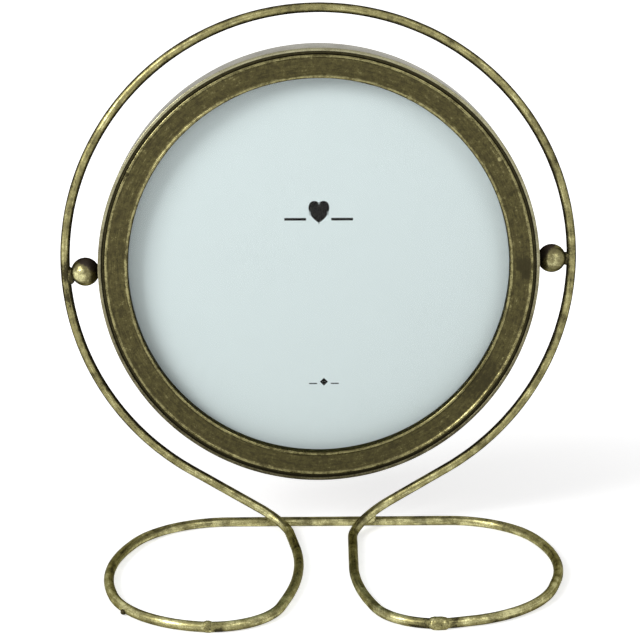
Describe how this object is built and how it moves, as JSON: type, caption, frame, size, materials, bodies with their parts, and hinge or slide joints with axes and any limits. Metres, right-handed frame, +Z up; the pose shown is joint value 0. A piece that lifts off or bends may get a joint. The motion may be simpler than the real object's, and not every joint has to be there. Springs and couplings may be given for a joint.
{
  "type": "round tilting photo frame on a wire stand",
  "caption": "Round metal photo frame with a deep case, tilting between two balls in a hoop of round wire that runs down into two flat base loops.",
  "frame": {"origin": "on the table, at the middle of the outline seen from above", "axes": "+X to the right seen from the front, +Y to the back, +Z up"},
  "size_m": [0.1732, 0.1031, 0.1805],
  "materials": {
    "wire_brass": "aged antique brass, satin, with streaky polish and dark patina",
    "ball_brass": "aged antique brass, semi-polished",
    "case_brass": "dark antique brass, brushed",
    "hardware_brass": "dull brass",
    "glass": "clear, polished",
    "card": "matt printed card",
    "filler": "grey-brown card",
    "board": "hardboard, smooth brown face"
  },
  "bodies": {
    "stand": {"hoop_wire": "wire_brass", "base_wire": "wire_brass", "butt_weld_left": "wire_brass", "butt_weld_right": "wire_brass", "tack_weld_left": "wire_brass", "tack_weld_right": "wire_brass", "ball_left": "ball_brass", "ball_right": "ball_brass", "ball_weld_left": "wire_brass", "ball_weld_right": "wire_brass", "pivot_screw_left": "hardware_brass", "pivot_screw_right": "hardware_brass", "spacer_washer_left": "hardware_brass", "spacer_washer_right": "hardware_brass", "friction_washer_left": "hardware_brass", "friction_washer_right": "hardware_brass"},
    "case": {"case_band": "case_brass", "front_bezel": "case_brass", "seat_ring": "case_brass", "glass_pane": "glass", "photo_card": "card", "filler_sheet": "filler", "backing_board": "board", "button_rivets": "hardware_brass"},
    "button_1": {"turn_button_1": "hardware_brass"},
    "button_2": {"turn_button_2": "hardware_brass"},
    "button_3": {"turn_button_3": "hardware_brass"},
    "button_4": {"turn_button_4": "hardware_brass"}
  },
  "joints": [
    {"name": "case_tilt", "type": "hinge", "parent": "stand", "child": "case", "pos_m": [0, 0.04405, 0.093], "axis": [0.9997, 0, 0.0255], "continuous": true},
    {"name": "turn_button_1_turn", "type": "hinge", "parent": "case", "child": "button_1", "pos_m": [-0.04907, 0.04805, 0.14208], "axis": [0, 1, 0], "range_deg": [-90, 90]},
    {"name": "turn_button_2_turn", "type": "hinge", "parent": "case", "child": "button_2", "pos_m": [0.04907, 0.04805, 0.14208], "axis": [0, 1, 0], "range_deg": [-90, 90]},
    {"name": "turn_button_3_turn", "type": "hinge", "parent": "case", "child": "button_3", "pos_m": [0.04907, 0.04805, 0.04393], "axis": [0, 1, 0], "range_deg": [-90, 90]},
    {"name": "turn_button_4_turn", "type": "hinge", "parent": "case", "child": "button_4", "pos_m": [-0.04907, 0.04805, 0.04393], "axis": [0, 1, 0], "range_deg": [-90, 90]}
  ]
}
